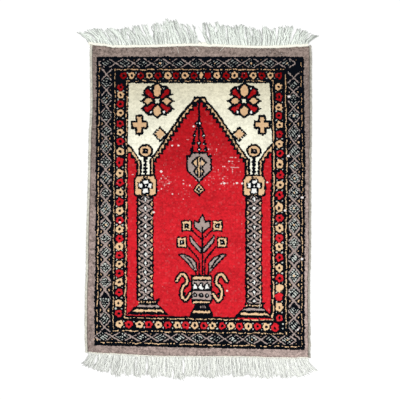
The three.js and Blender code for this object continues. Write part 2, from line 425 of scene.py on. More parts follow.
BLIND_FLOWERS = {("niche", 1.1), ("niche", 7.4), ("right", -86.9), ("right", -95.6)}
FLOWER_RADII = ((-130, 3.75), (-100, 3.9), (0, 3.9), (130, 3.5))  # by the place along the rug


def flower(chart, cx, cy, radius, lobes, turn, yarn, tall=1.0, narrow=1.0):
    w = chart.window(cx - radius, cx + radius, cy - radius * tall, cy + radius * tall)
    dx, dy = (chart.x[w] - cx) / narrow, (chart.y[w] - cy) / tall
    angle = np.arctan2(dy, dx)
    edge = radius * (1 + 0.08 * np.cos(lobes * angle + turn) + 0.04 * np.cos(3 * angle + 2 * turn))
    chart.paint(w, np.hypot(dx, dy) < edge, yarn)


def flower_border(chart, rng):
    # side, flowers, the colour of the first, where the line runs
    rows = (
        ("left", LEFT_FLOWERS, "red", -80.4),
        ("right", RIGHT_FLOWERS, "peach", 79.3),
        ("niche", NICHE_FLOWERS, "red", 124.4),
        ("foot", FOOT_FLOWERS, "peach", -125.7),
    )
    for side, places, yarn, line in rows:
        upright = side in ("left", "right")
        for n, place in enumerate(places):
            cx, cy = (line, place) if upright else (place, line)
            cx += rng.uniform(-0.3, 0.3)
            tall = 1.28 if (side, place) in DOUBLE_FLOWERS else 1.0
            narrow = 0.55 if (side, place) in SHORT_FLOWERS else 1.0
            radius = read(FLOWER_RADII, cy) * rng.uniform(0.96, 1.04)
            flower(chart, cx, cy, radius, rng.integers(5, 7), rng.uniform(0, TURN), yarn, tall, narrow)
            if (side, place) not in BLIND_FLOWERS:
                chart.disc(cx, cy - 2.2 * (tall - 1), rng.uniform(1.05, 1.35), "black", tall)
            yarn = "peach" if yarn == "red" else "red"
        for first, second in zip(places, places[1:]):
            between = (first + second) / 2
            for off in (-2.9, 2.9):
                dot = (line + off, between) if upright else (between, line + off)
                chart.disc(*dot, rng.uniform(0.7, 0.95), "hatch")
    for y in (-122.6, -127.4):
        chart.disc(82.9, y, 0.95, "hatch")
    for cx, cy, yarn in ((75.1, -127, "red"), (-79.6, -125.2, "peach")):
        flower(chart, cx, cy, 3.8, 5, 1.0, yarn)
        chart.disc(cx, cy, 1.0, "black")


# Edge of the niche, down its right side from the apex to the neck over the column
NICHE_EDGE = [
    (4.8, 102.7), (6.4, 99), (9, 96), (13, 92), (16.8, 87.4), (20.3, 82.6), (24.2, 76.6), (28.6, 70.5),
    (33.2, 63.6), (38.2, 55.2), (42.3, 49.3), (46.2, 43.9), (49.3, 40),
]
ARCH_STEP = 5.3  # along the edge, from one wedge to the next
# Edge of the side arm, down its right-hand end from the border to the neck
ARM_EDGE = [
    (72.4, 56), (69.3, 53.2), (67.3, 50.6), (65.4, 47.6), (63.4, 44.6), (61.4, 41.6), (59.4, 38.9),
]
NECK_FOOT = 25.2
COLUMN_X = 54.35  # middle of a column, out from the niche's middle


def cream_ground(chart):
    right = NICHE_EDGE + [(50.1, NECK_FOOT), (58.4, NECK_FOOT)] + ARM_EDGE[::-1]
    outline = [(FIELD["right"], FIELD["niche"])] + [(NICHE_X + x, y) for x, y in right[::-1]]
    outline += [(NICHE_X - x, y) for x, y in right] + [(FIELD["left"], FIELD["niche"])]
    chart.polygon(outline, "cream")


def arch(chart):
    """The niche's stepped band: a black line, peach wedges and a black stair under them."""
    for side in (-1, 1):
        xs, ys = zip(*[(NICHE_X + side * x, y) for x, y in NICHE_EDGE])
        travelled = np.concatenate(([0], np.cumsum(np.hypot(np.diff(xs), np.diff(ys)))))
        steps = np.arange(3.0, travelled[-1] + 1, ARCH_STEP)
        places = [(np.interp(s, travelled, xs), np.interp(s, travelled, ys)) for s in steps]
        inner = [(x - side * 1.6, y - 1.2) for x, y in zip(xs, ys)]
        chart.line(inner, 2.6, "black")
        for (x0, y0), (x1, y1) in zip(places, places[1:]):
            low = y1 - 2.8
            stair = [
                (x0, y0), (x0 - side * 2.9, y0 - 0.6), (x0 - side * 3.2, low), (x1 - side * 1.2, low),
                (x1, y1),
            ]
            chart.polygon(stair, "black")
        for (x0, y0), (x1, y1) in zip(places, places[1:]):
            wedge = [(x0 - side * 0.8, y0 - 0.4), (x0 - side * 1.5, y1 - 0.9), (x1 - side * 0.9, y1 - 0.9)]
            chart.polygon(wedge, "peach")
        chart.line(inner, 0.9, "peach", bead=3.4)
        chart.line(list(zip(xs, ys)), 1.5, "black")
    apex = [(-5.2, 103), (4.4, 103), (8, 96.4), (5, 94.8), (2.4, 97.6), (-3.4, 97.6), (-6, 94.4), (-9, 96.2)]
    chart.polygon(apex, "black")
    chart.polygon([(-4.8, 100.9), (-1.2, 101.6), (-4, 98), (-6.6, 97.4)], "peach")
    chart.polygon([(4, 100.9), (0.6, 101.6), (3.2, 98), (5.8, 97.4)], "peach")


def side_arms(chart):
    """The short stepped arms between the border and the necks: three peach steps on black."""
    steps = (
        [(71.8, 53.4), (68.2, 50.4), (67.4, 48.0), (71.8, 48.0)],
        [(67.8, 49.2), (63.2, 44.8), (62.6, 42.4), (65.6, 42.6), (68.0, 46.6)],
        [(63.6, 43.6), (61.2, 40.6), (61.0, 37.0), (63.4, 37.4), (64.2, 40.8)],
    )
    foot = [(61.6, 36.4), (64.8, 36.6), (65.2, 41.2), (68.8, 41.6), (69.4, 46.2), (72.6, 46.4)]
    for side in (-1, 1):
        chart.polygon(at(NICHE_X, 0, ARM_EDGE + foot, side), "black")
        for step in steps:
            chart.polygon(at(NICHE_X, 0, step, side), "peach")
        chart.line(at(NICHE_X, 0, ARM_EDGE, side), 1.2, "black")


def necks(chart):
    # Upright lines beside the cream of the neck: from and to, out from the niche's middle, and the top
    lines = (
        (44.9, 46.9, 41.2, "black"), (46.9, 48.2, 41.2, "peach"), (48.2, 50.2, 41.2, "black"),
        (58.2, 60.2, 39.4, "black"), (60.2, 61.5, 39.4, "peach"), (61.5, 63.5, 39.4, "black"),
    )
    for side in (-1, 1):
        for near, far, top, yarn in lines:
            left, right = sorted((NICHE_X + side * near, NICHE_X + side * far))
            chart.box(left, right, NECK_FOOT, top, yarn)


def ring_finials(chart):
    ring = mirrored([(1.9, 4.9), (4.5, 3.1), (5.7, 1.2), (5.7, -1.6), (3.8, -4.4), (1.4, -5.3)])
    for side in (-1, 1):
        cx, cy = NICHE_X + side * 54.2, 49.1
        chart.shape(at(cx, cy, ring), "peach", width=1.7)
        chart.box(cx - 2.7, cx + 2.6, cy - 2.8, cy + 2.0, "black")
        chart.box(cx - 0.5, cx + 0.9, cy - 1.0, cy + 0.4, "grey")
        chart.box(cx - 0.8, cx + 0.8, NECK_FOOT, 43.2, "black")
        for y in (41.4, 38.2, 34.9, 31.6, 28.0):
            chart.box(cx - 2.5, cx + 2.1, y - 0.6, y + 0.5, "black")
            chart.box(cx - 1.8, cx + 1.4, y - 1.2, y + 1.1, "black")


def capitals(chart):
    block = mirrored([(9.4, 25.2), (11.7, 20), (11.7, 5.2), (9, 3.2)])
    star = [(-2.6, 12), (-6.2, 16.8), (-3, 20.4), (3.8, 20.4), (6.4, 16.8), (2.6, 12)]
    # Petals: middle, half width and half height
    petals = ((0.5, 18.1, 2.7, 1.75), (-4.6, 14.2, 1.8, 2.2), (4.6, 14.3, 1.8, 2.1), (0.1, 9.0, 2.9, 2.5))
    for side in (-1, 1):
        cx = NICHE_X + side * COLUMN_X
        chart.polygon(at(cx, 0, block), "black")
        chart.polygon(at(cx, 0, [(0.88 * x, 14.1 + 0.87 * (y - 14.2)) for x, y in block]), "peach")
        chart.box(cx - 2.3, cx + 2.3, 21.4, 22.4, "black")
        chart.box(cx - 1.6, cx - 0.8, 22.2, 24, "black")
        chart.box(cx + 0.9, cx + 1.7, 22.2, 24, "black")
        for x, y, rx, ry in petals:
            chart.box(cx + x - rx - 1.2, cx + x + rx + 1.2, y - ry - 1.0, y + ry + 1.1, "black")
        chart.polygon(at(cx, 0, star), "black")
        for x, y, rx, ry in petals:
            petal = mirrored([(0.8 * rx, ry), (rx, -0.8 * ry), (0, -1.1 * ry)])
            chart.polygon(at(cx + x, y, petal), "white")
        chart.disc(cx + 0.2, 14, 0.85, "white")


def pillars(chart):
    pitch = 9.2  # from flower to flower up the column
    arm = 6.4  # reach of the crossed bands, sideways
    heart = [
        (0, 2.8), (0.9, 0.9), (2.3, 0.5), (0.9, -0.7), (0.5, -2.6), (-0.7, -0.9), (-2.1, -0.3),
        (-0.8, 0.8),
    ]
    for side in (-1, 1):
        cx = NICHE_X + side * COLUMN_X
        chart.box(cx - 8.8, cx + 8.1, -102.3, 4.2, "black")
        for n in range(12):
            y = 0.8 - n * pitch
            cross = y - pitch / 2
            for lean in (-1, 1):
                end = cross + lean * 4.3
                chart.line([(cx - arm, end), (cx, cross), (cx + arm, end)], 1.45, "grey")
                chart.polygon(at(cx, cross, [(4.7, 0), (7.0, 2.5), (7.0, -2.3)], lean), "peach")
                for near, far in ((2.5, 1.1), (-2.3, -0.9)):
                    chart.line([(cx + 1.4 * lean, y + near), (cx + 3.4 * lean, y + far)], 1.1, "grey")
            chart.polygon(at(cx + 0.1, y, heart), "white")
            chart.disc(cx, y, 1.15, "white")


def bases(chart):
    # Stripes of the foot of a column: yarn, top, bottom, half width at the top and at the bottom
    stripes = (
        ("black", 0, -4.0, 9.2, 9.0),
        ("black", -3.6, -15.0, 9.2, 20.6),
        ("peach", -1.5, -3.1, 7.6, 7.6),
        ("grey", -5.1, -7.2, 9.7, 11.6),
        ("peach", -9.7, -12.0, 13.4, 15.6),
    )
    # Middle and drop of each foot
    for middle, drop in ((-51.7, 0), (53.9, -1.7)):
        cx, top = middle, -100.9 + drop
        for yarn, high, low, upper, lower in stripes:
            chart.polygon(at(cx, top, mirrored([(upper, high), (lower, low)])), yarn)
        for x in range(-6, 8, 3):
            chart.box(cx + x - 0.4, cx + x + 0.4, top - 3.2, top - 1.6, "black")
        chart.polygon(at(cx, top, [(7.6, 0.2), (11.2, 1.9), (11.4, -0.4), (8.6, -1.6)]), "black")
        chart.box(cx - 17.5, cx + 17.5, top - 16.1, top - 14.9, "red")
    chart.line([(73.4, -109.4), (73, -113), (71.9, -115.4), (73.4, -118.8)], 1.3, "peach")


def spandrel_flowers(chart):
    """The large flower over each column, with four red petals round a white heart and four peach ones."""
    peach_side = [(4.4, 0.1), (8.9, 3.8), (13.8, 0.2), (9.6, -3.8)]
    peach_foot = mirrored([(0, -4.1), (3.9, -8.0), (3.7, -12.6), (0, -15.2)])
    peach_head = mirrored([(0, 3.9), (3.4, 6.4), (4, 11), (2.6, 15.2), (0, 16.8)])
    red_foot = [(2.6, -3.2), (4.6, -2.2), (8.7, -5.4), (12.1, -5.9), (13.7, -7.6), (9.8, -11.4), (5.6, -7.8)]
    red_head = [
        (2.6, 3.2), (4.6, 2.2), (8.6, 5.4), (12, 7.2), (11.9, 10.4), (9.4, 12.5), (6.4, 9.6),
        (4.9, 6.2),
    ]
    heart = mirrored([(0, 1.9), (2.5, 2.6), (1.9, 0), (2.3, -2.2), (0, -1.9)])
    for side in (-1, 1):
        cx, cy = NICHE_X + 1.1 + side * 43.5, 98.8
        chart.line(at(cx, cy, [(0, 16), (0, 19)]), 1.8, "black")
        for flip in (-1, 1):
            for tip in ((17, 0), (16.4, -7.6), (15.4, 6.2)):
                chart.line(at(cx, cy, [(10.5, tip[1] * 0.9), tip], flip), 1.2, "black")
            for petal in (peach_side, red_foot, red_head, peach_foot, peach_head):
                chart.line(at(cx, cy, petal + petal[:1], flip), 3.7, "black")
        for flip in (-1, 1):
            for petal, yarn in ((red_foot, "red"), (red_head, "red"), (peach_side, "peach")):
                chart.polygon(at(cx, cy, petal, flip), yarn)
            chart.line(at(cx, cy, [(4.6, -12.9), (8.8, -14)], flip), 1.6, "black")
            chart.line(at(cx, cy, [(4.2, 14.6), (9.6, 14.2)], flip), 1.5, "black")
            chart.disc(cx + flip * 6.7, cy - 11.1, 1.3, "white")
            chart.disc(cx + flip * 6.5, cy + 12.6, 1.0, "white")
        chart.polygon(at(cx, cy, peach_foot), "peach")
        chart.polygon(at(cx, cy, peach_head), "peach")
        chart.polygon(at(cx, cy, [(1.45 * x, 1.4 * y) for x, y in heart]), "black")
        chart.polygon(at(cx, cy, heart), "cream")


def small_ornaments(chart):
    """A cross and a square in each spandrel."""
    cross = mirrored([(2.2, 8), (2.2, 2.3), (6.8, 2.3), (6.8, -2.2), (2.2, -2.2), (2.2, -8)])
    square = mirrored([(0, 5.2), (5.2, 0), (0, -5.2)])
    for side in (-1, 1):
        cx, cy = NICHE_X + 1.0 + side * 61.5, 75.1
        chart.shape(at(cx, cy, cross), "peach", width=1.9)
        chart.line(at(cx, cy, [(0, -9), (0, -10.3)]), 1.2, "black")
        cx, cy = NICHE_X + side * 39.7, 65.9
        chart.line(at(cx, cy, [(0, 6.2), (6.4, 0), (0, -6.4)], side), 1.8, "black", bead=2.6)
        chart.line(at(cx, cy, [(0, 6.2), (-7, -0.6), (0, -7.2)], side), 1.6, "black")
        chart.polygon(at(cx, cy, square), "peach")


def lamp(chart):
    """The hanging lamp, on three strings of beads."""
    cx = -1.1
    chart.line([(-1.2, 102), (-1.3, 47)], 1.7, "black", bead=3.4)
    chart.line([(-1.2, 102), (-1.3, 62)], 1.3, "black")
    chart.box(cx - 1.6, cx + 1.4, 76.8, 80.6, "black")
    # Beads: out from the middle, and how far up
    beads = (
        (-2.1, 76.3), (0.9, 76.3), (-4.7, 64.4), (4.4, 64.4), (-5.7, 56.4), (5.4, 56.2), (0, 56.8),
        (-7.4, 50.3), (6.6, 50.3), (0, 50.3),
    )
    for x, y in beads:
        chart.disc(cx + x, y, 2.0, "black", 0.85)
        chart.disc(cx + x, y, 0.95, "white")
    for side in (-1, 1):
        chart.line(at(cx, 0, [(1.4, 74.4), (4.6, 66)], side), 2.0, "black", bead=2.6)
        chart.line(at(cx, 0, [(4.7, 63), (5.6, 57.6), (7, 51.8), (7.4, 47.4)], side), 1.6, "black", bead=3.1)
    body = mirrored([(7.6, 46.2), (7.6, 45), (9.9, 41.6), (11.2, 43.6), (11.4, 30), (0, 19)])
    chart.shape(at(cx, 0, body), "grey", width=1.5)
    chart.line(at(cx, 0, [(-8.4, 46.6), (8.4, 46.6)]), 1.3, "black")
    bars = [(-2, 42.2), (-7.2, 37.4), (-2.6, 32.2), (-5, 28.2), (-2.0, 23.8)]
    pane = [(-2.4, 40.2), (-4.4, 38.6), (-5.4, 37.3), (-4.2, 35.6), (-2.4, 34.4)]
    for side in (-1, 1):
        chart.line(at(cx, 0, bars, side), 1.5, "black")
        chart.polygon(at(cx, 0, pane, side), "peach")
        chart.polygon(at(cx, 0, [(-2.4, 30.6), (-4.0, 28.6), (-2.4, 26.8)], side), "peach")
    chart.box(cx - 1.9, cx + 1.7, 22.6, 43.6, "black")
    chart.box(cx - 0.9, cx + 0.7, 23.4, 42.4, "peach")
    chart.polygon(at(cx, 0, [(0, 17.8), (6.4, 10.1), (0.1, 3.6), (-6.4, 10.1)]), "black")
    chart.polygon(at(cx, 0, [(0, 16.4), (4.8, 10.1), (0, 5.6), (-4.8, 10.1)]), "peach")
    for x, y in ((0, 12.5), (-1.9, 10.4), (1.9, 10.4), (0, 8.5)):
        chart.disc(cx + x, y, 1.25, "black")
    chart.disc(cx, 10.5, 0.85, "white")


def bouquet(chart):
    """The flowers that stand in the vase."""
    cx = 1.9
    small_leaf = [
        (11.9, -36.4), (11.5, -41.6), (7.2, -46.2), (3.0, -50.9), (1.2, -52.4), (1.2, -48.8),
        (5.4, -44.6), (8.8, -40.6),
    ]
    large_leaf = [
        (22.4, -54.9), (18.2, -55.0), (10.8, -58.4), (6.2, -63.6), (5.7, -69.4), (6.4, -71.4),
        (8.6, -69.8), (13.9, -63.1), (19.2, -57.8),
    ]
    tulip = [
        (0.3, -15.6), (3.2, -23.3), (7.3, -21.4), (7.3, -26.6), (0, -32.4), (-7.3, -26.6),
        (-7.3, -21.4), (-3.2, -23.2),
    ]
    stalk = [(13.4, -47.4), (9, -52.8), (4.2, -58), (2.9, -61), (2.9, -76)]
    chart.line([(2.3, -32), (2.3, -76)], 1.5, "black")
    for side in (-1, 1):
        chart.line(at(cx, 0, [(9.6, -30.9), (0.9, -39)], side), 1.5, "black", bead=2.6)
        chart.line(at(cx, 0, stalk, side), 1.5, "black")
        for x, y in ((15.4, -25.9), (20.2, -42.5)):
            square_flower(chart, cx + side * x, y)
        chart.shape(at(cx, 0, small_leaf, side), "grey", width=1.2)
        leaf_x = cx + (side > 0) * 1.2
        chart.shape(at(leaf_x, 0, large_leaf, side), "grey", width=1.2)
        chart.line(at(leaf_x, 0, [(17.4, -56.4), (12.4, -60.8), (7.6, -68.4)], side), 1.2, "black")
        chart.line(at(cx, 0, [(6.2, -73), (6.2, -76)], side), 1.3, "black")
    chart.shape(at(cx, 0, tulip), "grey", width=1.3)
    chart.line([(2.1, -27.8), (2.1, -33)], 1.4, "black")


def square_flower(chart, cx, cy):
    outer = mirrored([(0, 5.0), (4.8, 5.4), (4.9, 0), (4.8, -5.4), (0, -5.0)])
    chart.shape(at(cx, cy, [(0.84 * x, 0.84 * y) for x, y in outer]), "peach", width=1.3)
    chart.polygon(at(cx, cy, [(0.46 * x, 0.46 * y) for x, y in outer]), "black")
    chart.disc(cx, cy, 0.8, "white")


def vase(chart):
    cx = 1.55
    handle = [
        (24.8, -80.9), (22.9, -77.2), (20.5, -74.4), (17.6, -74.4), (15.2, -77.6), (14.4, -81.4),
        (15.6, -84.6), (18.2, -86.2), (19.8, -90), (20.2, -94.6), (18.9, -98.2), (16.2, -100.8),
        (13.7, -97.2), (11.2, -93.6),
    ]
    for side in (-1, 1):
        chart.line(at(cx, 0, handle, side), 5.4, "black")
        chart.line(at(cx, 0, [(20.4, -95), (23, -95.6)], side), 1.6, "black")
        chart.disc(cx + side * 17.2, -93.8, 1.2, "black")
    for side in (-1, 1):
        chart.line(at(cx, 0, handle, side), 2.3, "peach")
    body = [
        (-10.6, -75), (10.6, -75), (10.4, -101.3), (9.4, -103.6), (7.2, -104.4), (8.8, -109.6),
        (10.6, -112), (11.8, -117), (-12.4, -117), (-10.4, -112), (-8.8, -109.6), (-6.8, -104.4),
        (-9, -103.6), (-10.4, -101.3),
    ]
    chart.polygon(at(cx, 0, body), "black")
    # Bands of the vase: yarn, top, bottom, half width
    bands = (
        ("peach", -76.7, -79.5, 8.9), ("grey", -81.2, -86, 9.2), ("grey", -91.2, -100, 9.2),
        ("peach", -101.3, -103.4, 8.4), ("peach", -110.9, -113.3, 8.9),
    )
    for yarn, top, bottom, half in bands:
        chart.box(cx - half, cx + half, bottom, top, yarn)
    dark_leaf = [(-2.9, -2.9), (-2.6, 1.4), (-0.6, 4.0), (1.4, 3.4), (2.9, 1.0), (2.9, -2.9)]
    white_leaf = [(-2.1, -2.4), (-1.8, 0.4), (-0.5, 2.6), (0.7, 2.6), (1.2, 0.4), (2.3, -1.2), (2.3, -2.4)]
    for x in (-6.5, -0.6, 5.2):
        chart.polygon(at(cx + x, -86.6, dark_leaf), "black")
        chart.polygon(at(cx + x, -86.6, white_leaf), "white")
        chart.disc(cx + x, -95.4, 2.2, "black")
        chart.disc(cx + x + 0.2, -95, 0.75, "white")
    for x in (-3.9, -1.7, 0.5, 2.7):
        chart.box(cx + x, cx + x + 1.1, -108.6, -105.9, "grey")


def design(chart, rng):
    grounds(chart)
    border_lines(chart)
    border_teeth(chart, rng)
    lozenges(chart, True, LEFT_LATTICE, 5.6, LEFT_CROSSINGS, LEFT_MARKS, rng)
    lozenges(chart, True, RIGHT_LATTICE, 6.0, RIGHT_CROSSINGS, RIGHT_MARKS, rng)
    lozenges(chart, False, NICHE_LATTICE, 4.7, NICHE_CROSSINGS, NICHE_MARKS, rng)
    lozenges(chart, False, FOOT_LATTICE, 4.7, FOOT_CROSSINGS, FOOT_MARKS, rng)
    lattice_corners(chart)
    flower_border(chart, rng)
    for motif in (
        cream_ground, arch, side_arms, necks, pillars, capitals, ring_finials, bases, spandrel_flowers,
        small_ornaments, lamp, bouquet, vase,
    ):
        motif(chart)


# Outline of the pile, read from the CAD slab
def edge_curve(points, along, across, outward):
    """Outermost coordinate of the slab as a function of its place along one edge."""
    reach = {}
    for point in points:
        place = round(point[along], 4)
        value = point[across]
        if place not in reach or outward * value > outward * reach[place]:
            reach[place] = value
    places = sorted(reach)
    values = [reach[place] for place in places]
    return lambda where: np.interp(where, places, values)


slab = np.array([vertex.co[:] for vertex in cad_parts["rug_body"].data.vertices])
slab_low, slab_high = slab.min(axis=0), slab.max(axis=0)
slab_half = (slab_high - slab_low) / 2
slab_centre = (slab_high + slab_low) / 2
upright = slab[np.abs(slab[:, 0] - slab_centre[0]) > slab_half[0] - 0.02]
level = slab[np.abs(slab[:, 1] - slab_centre[1]) > slab_half[1] - 0.02]
left_edge = edge_curve(upright[upright[:, 0] < 0], 1, 0, -1)
right_edge = edge_curve(upright[upright[:, 0] > 0], 1, 0, 1)
foot_edge = edge_curve(level[level[:, 1] < 0], 0, 1, -1)
niche_edge = edge_curve(level[level[:, 1] > 0], 0, 1, 1)


def slab_places(s, t):
    """Places on the rug for shares s across it and t along it, 0 to 1, following its uneven outline."""
    x = slab_low[0] + s * (slab_high[0] - slab_low[0])
    y = slab_low[1] + t * (slab_high[1] - slab_low[1])
    for _ in range(3):
        x = left_edge(y) + s * (right_edge(y) - left_edge(y))
        y = foot_edge(x) + t * (niche_edge(x) - foot_edge(x))
    return x, y


def new_piece(name, vertices, faces, material):
    mesh = bpy.data.meshes.new(name)
    mesh.from_pydata(vertices, [], faces)
    mesh.polygons.foreach_set("use_smooth", [True] * len(mesh.polygons))
    mesh.materials.append(material)
    mesh.update()
    piece = bpy.data.objects.new(name, mesh)
    bpy.context.collection.objects.link(piece)
    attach(piece, "root")
    return piece


def grid_faces(columns, rows, flip=False):
    """Quads of a grid whose vertices run column by column within each row."""
    c, r = np.meshgrid(np.arange(columns), np.arange(rows))
    a = (r * (columns + 1) + c).ravel()
    quads = np.stack((a, a + 1, a + columns + 2, a + columns + 1), axis=1)
    return (quads[:, ::-1] if flip else quads).tolist()


def rim_loop(columns, rows):
    """Vertices round a grid's edge, anticlockwise."""
    width = columns + 1
    foot = list(range(columns))
    right = [r * width + columns for r in range(rows)]
    top = [rows * width + c for c in range(columns, 0, -1)]
    left = [r * width for r in range(rows, 0, -1)]
    return foot + right + top + left


def close_solid(vertices, faces, loop, level, above=False):
    """Closes a surface with a wall from the loop round it to a flat face, below it or above it."""
    first, count = len(vertices), len(loop)
    vertices += [(vertices[n][0], vertices[n][1], level) for n in loop]
    for n in range(count):
        after = (n + 1) % count
        a, b = (n, after) if above else (after, n)
        faces.append((loop[a], loop[b], first + b, first + a))
    flat = range(first, first + count)
    faces.append(tuple(flat if above else reversed(flat)))


def face_colours(piece, colours):
    layer = piece.data.attributes.new("wool", "FLOAT_COLOR", "FACE")
    padded = np.ones((len(piece.data.polygons), 4))
    padded[: len(colours), :3] = colours
    padded[len(colours):, :3] = colours[-1]
    layer.data.foreach_set("color", padded.ravel())


def bake_map(piece, flat_faces):
    """Lays the first faces out flat on the piece's own map, which they fill, and the rest in its corner."""
    mesh = piece.data
    corner = np.empty(len(mesh.loops), dtype=int)
    mesh.loops.foreach_get("vertex_index", corner)
    places = np.empty(len(mesh.vertices) * 3)
    mesh.vertices.foreach_get("co", places)
    places = places.reshape(-1, 3)[:, :2]
    low, high = places.min(axis=0), places.max(axis=0)
    uv = 0.005 + 0.955 * ((places[corner] - low) / (high - low))
    hidden = 4 * flat_faces
    uv[hidden:] = 0.975 + 0.02 * uv[hidden:]
    layer = mesh.uv_layers.new(name="OFBake")
    layer.data.foreach_set("uv", uv.ravel())


# Wear and dye of the wool
def design_places(x, y):
    """Places on the rug in the design's unit: its border columns and foot are woven a little out of true."""
    kx = (x - MIDDLE[0]) / STEP
    ky = (y - MIDDLE[1]) / STEP
    fade = np.clip((np.abs(kx) - 60) / 12, 0, 1)
    shift = np.where(kx < 0, read(LEFT_SHIFT, ky), read(RIGHT_SHIFT, ky))
    return kx - fade * shift, ky + read(FOOT_SLOPE, ky) * kx


def knots(kx, ky):
    """Row and column of the knot at each place."""
    return np.floor(ky / KNOT_TALL).astype(int), np.floor(kx / KNOT_WIDE).astype(int)


def tied(kx, ky, rng):
    """Pulls places towards the middles of hand-tied knots, so that edges step from knot to knot."""
    row, column = knots(kx, ky)
    offsets = rng.uniform(-KNOT_STRAY, KNOT_STRAY, (2, KNOT_DRAWS, KNOT_DRAWS))
    stray_x, stray_y = offsets[:, row % KNOT_DRAWS, column % KNOT_DRAWS]
    x = kx + KNOT_PULL * ((column + 0.5) * KNOT_WIDE - kx) + stray_x
    y = ky + KNOT_PULL * ((row + 0.5) * KNOT_TALL - ky) + stray_y
    return x, y


def linear(colour):
    colour = np.asarray(colour, dtype=float)
    return np.where(colour < 0.04045, colour / 12.92, ((colour + 0.055) / 1.055) ** 2.4)


def soft_noise(shape, step, rng):
    """Smooth noise from -1 to 1 on a grid, with blobs about step cells wide."""
    rows, columns = shape
    coarse = rng.uniform(-1, 1, (int(rows / step[0]) + 3, int(columns / step[1]) + 3))
    r = np.arange(rows) / step[0]
    c = np.arange(columns) / step[1]
    r0, c0 = r.astype(int), c.astype(int)
    fr, fc = (r - r0)[:, None], (c - c0)[None, :]
    fr, fc = fr * fr * (3 - 2 * fr), fc * fc * (3 - 2 * fc)
    a, b = coarse[np.ix_(r0, c0)], coarse[np.ix_(r0, c0 + 1)]
    d, e = coarse[np.ix_(r0 + 1, c0)], coarse[np.ix_(r0 + 1, c0 + 1)]
    return (a * (1 - fc) + b * fc) * (1 - fr) + (d * (1 - fc) + e * fc) * fr


def widen_dark_lines(chart, ky, rng):
    """Dark tufts lean over their paler neighbours, so dark lines come out wider than they are charted."""
    black = YARN_ORDER.index("black")
    dark = of_yarn(chart, "black")
    wider = dark.copy()
    wider[1:] |= dark[:-1]
    wider[:, 1:] |= dark[:, :-1]
    chart.yarn[wider & (rng.random(dark.shape) < read(DARK_SPREAD, ky))] = black
    wider[:-1] |= dark[1:]
    wider[:, :-1] |= dark[:, 1:]
    back = read(DARK_RETURN, ky) * np.where(of_yarn(chart, "peach"), PEACH_RETURN, 1)
    chart.yarn[wider & (rng.random(dark.shape) < back)] = black


def wool(x, y, rng):
    """Colour of every cell, in linear light."""
    kx, ky = design_places(x, y)
    chart = Chart(*tied(kx, ky, rng))
    design(chart, rng)
    widen_dark_lines(chart, ky, rng)
    fresh = linear([YARNS[name] for name in YARN_ORDER])
    niche_shaded = linear([NICHE_SHADED_YARNS.get(name, YARNS[name]) for name in YARN_ORDER])
    # Painted shade: every yarn darkens towards the niche, where less light falls
    shade_curve = by_yarn(chart, LATE_SHADE_CURVE, PLAIN_SHADE_CURVE)
    share = (np.clip((ky - NICHE_SHADE_START) / NICHE_SHADE_LENGTH, 0, 1) ** shade_curve)[..., None]
    colour = fresh[chart.yarn] * (1 - share) + niche_shaded[chart.yarn] * share
    margin = np.where(kx < 0, read(LEFT_MARGIN, ky), read(RIGHT_MARGIN, ky))
    colour *= np.where(np.abs(kx) > BORDER["right"], margin, 1)[..., None]
    tone = sum(weight * soft_noise(x.shape, size, rng) for weight, size in DYE_BLOBS)
    tone += rng.normal(0, DYE_GRAIN, x.shape)
    colour = colour * (1 + 0.1 * by_yarn(chart, UNEVEN_DYE, PLAIN_DYE) * tone)[..., None]
    return np.clip(wear(colour, chart, kx, ky, rng), 0.001, 1)


def wear(colour, chart, kx, ky, rng):
    """White foundation showing in worn knots: scattered, in patches, in rows and singly."""
    red, taupe = of_yarn(chart, "red"), of_yarn(chart, "taupe")
    row, column = knots(kx, ky)
    off_x, off_y = kx / KNOT_WIDE - column - 0.5, ky / KNOT_TALL - row - 0.5
    luck, whiteness = rng.random((2, KNOT_DRAWS, KNOT_DRAWS))[:, row % KNOT_DRAWS, column % KNOT_DRAWS]
    dot = (np.abs(off_x) < 0.36) & (np.abs(off_y) < 0.34)
    worn = rng.random(kx.shape) < np.where(red, 0.0003, 0) + np.where(taupe, 0.0015, 0)
    pale = np.where(worn, rng.uniform(0.3, 0.95, kx.shape), 0)
    for cx, cy, rx, ry, share in WORN_PATCHES:
        near = np.clip(1.4 - ((kx - cx) / rx) ** 2 - ((ky - cy) / ry) ** 2, 0, 1)
        pale = np.maximum(pale, (dot & red & (luck < share * near)) * (0.1 + 0.75 * whiteness ** 3))
    for cx, cy, reach, strength in WORN_ROWS:
        line = (np.abs(kx - cx) < reach) & (np.abs(ky - cy) < 0.45) & (luck < 0.7)
        pale = np.maximum(pale, line * strength * (0.3 + 0.65 * whiteness))
    for cx, cy, size in WORN_KNOTS:
        pale = np.maximum(pale, (np.hypot((kx - cx) / 1.2, ky - cy) < size) * 0.9)
    pale = np.maximum(pale, red * 0.045 * whiteness ** 12)[..., None]
    return colour * (1 - pale) + linear(WORN_WHITE) * pale


# Pieces of the dressed rug
def cell_grid(columns, rows):
    """Places of a grid's corners on the rug."""
    return slab_places(*np.meshgrid(np.arange(columns + 1) / columns, np.arange(rows + 1) / rows))


def cell_middles(x, y):
    return (x[:-1, :-1] + x[1:, 1:]) / 2, (y[:-1, :-1] + y[1:, 1:]) / 2


